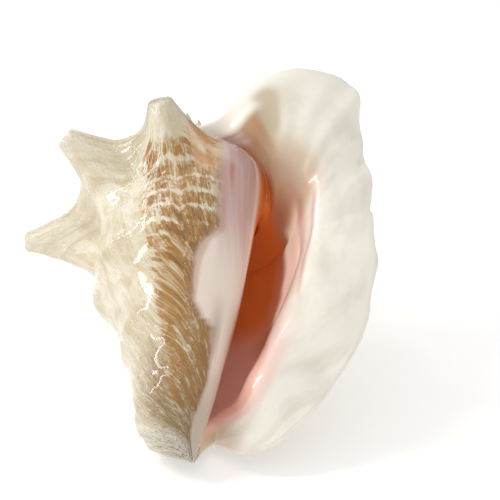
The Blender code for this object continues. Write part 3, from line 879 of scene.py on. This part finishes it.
def buildShell():
    levels = levelRows()
    turns = np.arange(-zeroColumn, perTurn + 1) / perTurn
    outer, worn = drawWhorls(turns, levels)
    inner = drawLining(turns, levels, outer)
    print("whorls drawn:", outer.shape[0], "columns,", outer.shape[1], "rows")

    bm = bmesh.new()
    layers = [bm.verts.layers.float_vector.new("map")]
    layers += [bm.verts.layers.float_color.new(name) for name in finishes]
    for kind, columns, rows in outerPatches(levels):
        noted = finishAt(kind, turns[columns], levels[rows], worn[np.ix_(columns, rows)])
        addPatch(bm, layers, pick(outer, columns, rows), noted)
    lining = np.arange(perTurn - hollowColumns, perTurn + 1)
    rim = drawRim(outer, inner, levels)
    for points, atTurns in ((inner[lining], lining / perTurn), (rim, np.ones(len(rim)))):
        addPatch(bm, layers, points, finishAt("lining", atTurns, levels, np.zeros(points.shape[:2])))
    print("patches made:", len(bm.verts), "vertices")

    # the map becomes the UV map of the growth lines
    maps = bm.loops.layers.uv.new("growth")
    layer = bm.verts.layers.float_vector["map"]
    for face in bm.faces:
        for loop in face.loops:
            loop[maps].uv = loop.vert[layer].xy
    bm.verts.layers.float_vector.remove(layer)
    bmesh.ops.scale(bm, vec=(millimetre, millimetre, millimetre), verts=bm.verts)
    bmesh.ops.remove_doubles(bm, verts=bm.verts, dist=net["mergeDistance"])
    # the end of the hollow deep inside, and the apex
    holes = bmesh.ops.holes_fill(bm, edges=[e for e in bm.edges if e.is_boundary], sides=0)["faces"]
    bmesh.ops.poke(bm, faces=holes)
    bmesh.ops.recalc_face_normals(bm, faces=bm.faces)
    return bm


def layDown(bm):
    turn = Matrix.Identity(3)
    for axis in "XY":
        step = Matrix.Rotation(math.radians(rest["turn" + axis]), 3, axis)
        bmesh.ops.rotate(bm, matrix=step, verts=bm.verts)
        turn = step @ turn
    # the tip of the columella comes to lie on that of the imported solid
    towardsTip = turn @ Vector((0.0, -1.0, 0.0))
    tip = towardsTip * -whorl["tipY"] * millimetre
    packedTip = max((vert.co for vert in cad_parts["shell"].data.vertices), key=towardsTip.dot)
    bmesh.ops.translate(bm, vec=packedTip - tip, verts=bm.verts)
    for vert in bm.verts:
        vert.co.z = max(vert.co.z, 0.0)  # worn flat where it lies on the ground


def linear(hexColour):  # sRGB hex to the renderer's linear values
    parts = [int(hexColour[i : i + 2], 16) / 255 for i in (1, 3, 5)]
    return (*[p / 12.92 if p <= 0.04045 else ((p + 0.055) / 1.055) ** 2.4 for p in parts], 1.0)


def addNode(tree, kind, inputs=None, output=0, **settings):  # gives an output of the node that it adds
    node = tree.nodes.new("ShaderNode" + kind)
    for name, value in settings.items():
        setattr(node, name, value)
    for key, value in (inputs or {}).items():
        if isinstance(value, bpy.types.NodeSocket):
            tree.links.new(value, node.inputs[key])
        else:
            node.inputs[key].default_value = linear(value) if isinstance(value, str) else value
    return node.outputs[output]


outsideLooks = {
    "cream": "#D5C8A9",
    "white": "#E6DCC6",
    "tan": "#BCA477",
    "footTan": "#9C7A48",
    "brown": "#A4752F",
    "darkBrown": "#7B5220",
    "amber": "#CF975A",
    "amberPale": "#E9C9A6",
    "flake": "#F1E5C9",
    "chalk": "#ECE3D0",
    "roughness": 0.2,
    "roughnessSpread": 0.14,
    "cell": (1.5, 2.4),  # mm, cells of the woven pattern across the growth lines and along them
    "wideCell": (5.3, 6.5),
    "wobble": (3.0, 3.2, 0.0),  # mm
    "wobbleSize": 2.2,
    # how much of each noise there is in the woven pattern
    "weave": (("cell", 0.28), ("wideCell", 0.28), ("streaks", 0.55), ("grain", 0.22), ("low", 0.06)),
    "weaveStart": -0.06,
    "dye": 0.3,  # what the brown adds to it
    # pale lines along the growth lines, then round the whorl: axis of the map, spacing, thickness, strength
    "paleLines": ((0, 5.2, 0.7, -0.12), (1, 6.8, 1.3, -0.24)),
    "growthLineHeight": 0.0005,  # metres
    "grainHeight": 0.0005,
}

glazeLooks = {
    "callus": "#E9DACB",
    # the darker foot of the callus, also used for painted shade near its border low on the body
    "callusFootAndShade": "#BCAC98",
    "lilac": "#C5A29C",
    "lilacPale": "#D6C0BF",
    "rosy": "#B57A64",
    "ivory": "#EEE9DC",
    "greenGrey": "#CDC8B4",
    # colour of the painted shade in the fold beside the canal
    "crease": "#BFB094",
    "ridge": "#F3EDDD",
    # a tan that also serves as painted shade
    "beigeAndShade": "#C6A788",
    "peach": "#FBE9DF",
    "peachLow": "#E6CBC0",
    "salmon": "#F0C8B2",
    # darker salmon low in the aperture: partly the shell's mauve tone, partly painted shade of the deep
    # lower wall
    "salmonLowAndShade": "#C0907F",
    # painted light: colour and strength of the glow for daylight through the lip
    "paintedGlowColour": "#FFEEDC",
    "paintedGlowStrength": 0.46,
    # colour of the painted shade along the crest
    "crestShadeLine": "#CF9C7C",
    "depth": "#F8974C",
    "depthLow": "#FFCCBA",
    "canal": "#AD825A",
    "stain": "#9A6A48",
    "roughness": 0.34,
}

# the same all over the shell
shellConstants = {
    "IOR": 1.55,
    "Coat Weight": 0.35,
    "Coat Roughness": 0.06,
    "Subsurface Weight": 0.06,
    "Subsurface Radius": (1.0, 0.5, 0.25),
    "Subsurface Scale": 0.004,
}

# noise in the surface: mm across the growth lines, mm along them, detail, shift
surfaceNoise = {
    "streaks": (0.9, 2.5, 3.0, 0.0),
    "broad": (9.0, 40.0, 2.0, 3.0),
    "clouds": (11.0, 11.0, 4.0, 11.0),
    "pearlClouds": (17.0, 20.0, 3.0, 5.0),
    "folds": (5.5, 40.0, 1.0, 29.0),
    "patchy": (4.0, 7.0, 3.0, 17.0),
    "growthLines": (1.1, 14.0, 2.0, 19.0),
    "grain": (0.8, 0.8, 2.0, 23.0),
}


def shellMaterial():
    # Aragonite in crossed layers. The outside is weathered and oiled: a broken gloss on fine growth lines.
    # The callus, the aperture and the lip are a dense layer like porcelain glaze, with a soft deep gloss.
    material = bpy.data.materials.new("aragoniteShell")
    material.use_nodes = True
    tree = material.node_tree
    surface = tree.nodes["Principled BSDF"]
    o, g = outsideLooks, glazeLooks

    where = addNode(tree, "UVMap", uv_map="growth")
    at = {}
    for attribute, names in finishes.items():
        read = addNode(tree, "Attribute", output="Color", attribute_name=attribute)
        parts = addNode(tree, "SeparateColor", {0: read}).node
        at.update(zip(names, (*parts.outputs, read.node.outputs["Alpha"])))
    for name, (width, height, detail, shift) in surfaceNoise.items():
        spread = {"Vector": where, "Scale": (1 / width, 1 / height, 1.0), "Location": (shift, shift, 0.0)}
        cells = {"Vector": addNode(tree, "Mapping", spread), "Scale": 1.0, "Detail": detail}
        at[name] = addNode(tree, "TexNoise", cells, "Fac", noise_dimensions="2D")

    # a woven pattern of growth lines crossed by pale spiral lines: cells of chance tone, on a wobbly map
    wild = {"Vector": where, "Scale": 1 / o["wobbleSize"], "Detail": 3.0}
    wild = addNode(tree, "TexNoise", wild, "Color")
    wild = addNode(tree, "VectorMath", {0: wild, 1: (0.5, 0.5, 0.5)}, operation="SUBTRACT")
    wobbly = {0: wild, 1: o["wobble"], 2: where}
    wobbly = addNode(tree, "VectorMath", wobbly, operation="MULTIPLY_ADD")
    for name in ("cell", "wideCell"):
        snapped = addNode(tree, "VectorMath", {0: wobbly, 1: (*o[name], 1.0)}, operation="SNAP")
        at[name] = addNode(tree, "TexWhiteNoise", {"Vector": snapped}, noise_dimensions="2D")
    axes = addNode(tree, "SeparateXYZ", {0: wobbly}).node.outputs
    steep = addNode(tree, "Math", {0: 1.0, 1: at["low"]}, operation="SUBTRACT")
    woven = o["weaveStart"]
    for name, share in o["weave"]:
        woven = addNode(tree, "Math", {0: at[name], 1: share, 2: woven}, operation="MULTIPLY_ADD")
    for axis, distance, thickness, strength in o["paleLines"]:
        away = addNode(tree, "Math", {0: axes[axis], 1: distance / 2}, operation="PINGPONG")
        line = {"Value": away, "From Min": thickness, "From Max": thickness / 3, "To Max": strength}
        line = addNode(tree, "MapRange", line, interpolation_type="SMOOTHSTEP")
        woven = addNode(tree, "Math", {0: line, 1: steep, 2: woven}, operation="MULTIPLY_ADD")
    at["woven"] = woven
    dyed = {0: at["brown"], 1: o["dye"], 2: woven}
    at["dyed"] = addNode(tree, "Math", dyed, operation="MULTIPLY_ADD")

    # where each tone starts, where it is full, and how much of it there is
    tones = {
        "whiteTone": ("broad", 0.35, 0.65, 1.0),
        "tanClouds": ("clouds", 0.45, 0.70, 0.45),
        "tanWeave": ("woven", 0.50, 0.90, 0.35),
        "brownWeave": ("dyed", 0.52, 0.94, 1.0),
        "darkWeave": ("dyed", 0.94, 1.18, 0.8),
        "footWeave": ("woven", 0.30, 0.75, 0.95),
        "brownPart": ("brown", 0.02, 0.40, 1.0),
        "chalkTip": ("worn", 0.25, 1.00, 0.7),
        "amberTone": ("amber", 0.0, 1.0, 0.85),
        "amberClouds": ("clouds", 0.40, 0.60, 1.0),
        "greenClouds": ("pearlClouds", 0.40, 0.80, 0.45),
        "foldTone": ("folds", 0.35, 0.70, 0.7),
        "beigeAndShadeTone": ("beigeAndShade", 0.0, 1.0, 0.85),
        "peachTone": ("salmon", 0.0, 0.5, 1.0),
        "salmonTone": ("salmon", 0.70, 0.98, 1.0),
        "crestShadeTone": ("crestShadeLine", 0.0, 1.0, 0.45),
        "paintedGlowTone": ("through", 0.0, 1.0, g["paintedGlowStrength"]),
        "creaseShadeTone": ("crease", 0.0, 0.8, 0.9),
        "bare": ("glaze", 1.0, 0.0, 1.0),
    }
    for name, (source, low, high, most) in tones.items():
        span = {"Value": at[source], "From Min": low, "From Max": high, "To Max": most}
        at[name] = addNode(tree, "MapRange", span, interpolation_type="SMOOTHSTEP")
    for name, part in (("brownWeave", "brownPart"), ("darkWeave", "brownPart"), ("footWeave", "tanFoot")):
        at[name] = addNode(tree, "Math", {0: at[name], 1: at[part]}, operation="MULTIPLY")

    # two coats of paint, layer over layer: the bare outside, then the glaze
    mixed = {
        "amberPaint": ("amberClouds", o["amber"], o["amberPale"]),
        "lilacPaint": ("foldTone", g["lilac"], g["lilacPale"]),
        # low down the salmon darkens, partly painted shade
        "salmonPaint": ("low", g["salmon"], g["salmonLowAndShade"]),
        "peachPaint": ("low", g["peach"], g["peachLow"]),
        "depthPaint": ("low", g["depth"], g["depthLow"]),
    }
    for name, (share, first, second) in mixed.items():
        at[name] = addNode(tree, "Mix", {0: at[share], 6: first, 7: second}, 2, data_type="RGBA")
    bareLayers = (
        ("whiteTone", o["white"]),
        ("tanClouds", o["tan"]),
        ("tanWeave", o["tan"]),
        ("footWeave", o["footTan"]),
        ("brownWeave", o["brown"]),
        ("darkWeave", o["darkBrown"]),
        ("chalkTip", o["chalk"]),
        ("amberTone", at["amberPaint"]),
        ("flake", o["flake"]),
    )
    glazeLayers = (
        ("greenClouds", g["greenGrey"]),
        ("callus", g["callus"]),
        ("foot", g["callusFootAndShade"]),
        ("canal", g["canal"]),
        ("lilac", at["lilacPaint"]),
        ("rosy", g["rosy"]),
        ("creaseShadeTone", g["crease"]),
        ("peachTone", at["peachPaint"]),
        ("salmonTone", at["salmonPaint"]),
        ("beigeAndShadeTone", g["beigeAndShade"]),
        ("crestShadeTone", g["crestShadeLine"]),
        ("depth", at["depthPaint"]),
        ("ridge", g["ridge"]),
    )
    coats = []
    for first, layers in ((o["cream"], bareLayers), (g["ivory"], glazeLayers)):
        colour = first
        for name, over in layers:
            colour = addNode(tree, "Mix", {0: at[name], 6: colour, 7: over}, 2, data_type="RGBA")
        coats.append(colour)
    colour = addNode(tree, "Mix", {0: at["glaze"], 6: coats[0], 7: coats[1]}, 2, data_type="RGBA")
    colour = addNode(tree, "Mix", {0: at["stain"], 6: colour, 7: g["stain"]}, 2, data_type="RGBA")
    tree.links.new(colour, surface.inputs["Base Color"])

    # painted light: the front of the aperture glows, an emission that stands in for daylight through the
    # thin wall of the lip
    tree.links.new(at["paintedGlowTone"], surface.inputs["Emission Strength"])
    surface.inputs["Emission Color"].default_value = linear(g["paintedGlowColour"])

    patchy = {0: at["patchy"], 1: o["roughnessSpread"], 2: o["roughness"] - o["roughnessSpread"] / 2}
    patchy = addNode(tree, "Math", patchy, operation="MULTIPLY_ADD")
    rough = addNode(tree, "Mix", {0: at["glaze"], 2: patchy, 3: g["roughness"]})
    tree.links.new(rough, surface.inputs["Roughness"])

    lines = addNode(tree, "Math", {0: at["growthLines"], 1: at["bare"]}, operation="MULTIPLY")
    grain = addNode(tree, "Math", {0: at["grain"], 1: at["bare"]}, operation="MULTIPLY")
    raised = addNode(tree, "Bump", {"Height": lines, "Distance": o["growthLineHeight"]})
    raised = {"Height": grain, "Distance": o["grainHeight"], "Normal": raised}
    tree.links.new(addNode(tree, "Bump", raised), surface.inputs["Normal"])

    for name, value in shellConstants.items():
        surface.inputs[name].default_value = value
    return material


def makeShell():
    bm = buildShell()
    layDown(bm)
    mesh = bpy.data.meshes.new("conchSurface")
    bm.to_mesh(mesh)
    bm.free()
    mesh.shade_smooth()
    mesh.materials.append(shellMaterial())
    shell = bpy.data.objects.new("conchSurface", mesh)
    bpy.context.scene.collection.objects.link(shell)
    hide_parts("shell")
    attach(shell, "root")
    print("shell finished:", len(mesh.polygons), "faces")


studio = {
    "floorRadius": 4.0,
    "floorColour": "#DDDCDA",
    "floorRoughness": 0.9,
    "floorGlow": 0.4,  # light through the white table
    "skyStrength": 0.78,
    "aim": (0.0, 0.0, 0.06),
    # direction from the shell, distance, width, height, power in watts
    "softboxes": {
        "leftWindow": ((-0.76, 0.03, 0.65), 0.9, 0.08, 0.6, 3.9),
        "backWindow": ((-0.645, 0.452, 0.616), 1.0, 0.12, 0.24, 0.8),
        "frontWindow": ((0.25, -0.62, 0.74), 1.2, 0.5, 0.5, 0.4),
    },
}

view = {
    "location": (0.002284, -0.59713, 0.31693),  # metres
    "azimuth": -2.51,  # degrees
    "elevation": 22.48,
    "roll": 2.633,
    "lens": 93.976,
}


def makeStudio():
    scene = bpy.context.scene
    bm = bmesh.new()
    bmesh.ops.create_circle(bm, cap_ends=True, segments=96, radius=studio["floorRadius"])
    mesh = bpy.data.meshes.new("studioFloor")
    bm.to_mesh(mesh)
    bm.free()
    material = bpy.data.materials.new("mattePaper")
    material.use_nodes = True
    paper = material.node_tree.nodes["Principled BSDF"]
    paper.inputs["Base Color"].default_value = linear(studio["floorColour"])
    paper.inputs["Roughness"].default_value = studio["floorRoughness"]
    paper.inputs["Emission Color"].default_value = (1.0, 1.0, 1.0, 1.0)
    paper.inputs["Emission Strength"].default_value = studio["floorGlow"]
    mesh.materials.append(material)
    floor = bpy.data.objects.new("studioFloor", mesh)
    scene.collection.objects.link(floor)

    world = bpy.data.worlds.new("whiteRoom")
    world.use_nodes = True
    sky = world.node_tree.nodes["Background"]
    sky.inputs["Color"].default_value = (1.0, 1.0, 1.0, 1.0)
    sky.inputs["Strength"].default_value = studio["skyStrength"]
    scene.world = world
    for name, (direction, distance, width, height, power) in studio["softboxes"].items():
        light = bpy.data.lights.new(name, "AREA")
        light.shape = "RECTANGLE"
        light.size = width
        light.size_y = height
        light.energy = power
        box = bpy.data.objects.new(name, light)
        towards = Vector(direction).normalized()
        box.location = Vector(studio["aim"]) + towards * distance
        box.rotation_mode = "QUATERNION"
        box.rotation_quaternion = towards.to_track_quat("Z", "Y")
        scene.collection.objects.link(box)
    scene.view_settings.view_transform = "Standard"
    print("studio ready")


def makeCamera():
    data = bpy.data.cameras.new("camera")
    data.lens = view["lens"]
    camera = bpy.data.objects.new("camera", data)
    turned = Matrix.Rotation(math.radians(view["azimuth"]), 4, "Z")
    turned = turned @ Matrix.Rotation(math.radians(90.0 - view["elevation"]), 4, "X")
    turned = turned @ Matrix.Rotation(math.radians(view["roll"]), 4, "Z")
    camera.matrix_world = Matrix.Translation(view["location"]) @ turned
    bpy.context.scene.collection.objects.link(camera)
    bpy.context.scene.camera = camera


makeCamera()
makeStudio()
makeShell()
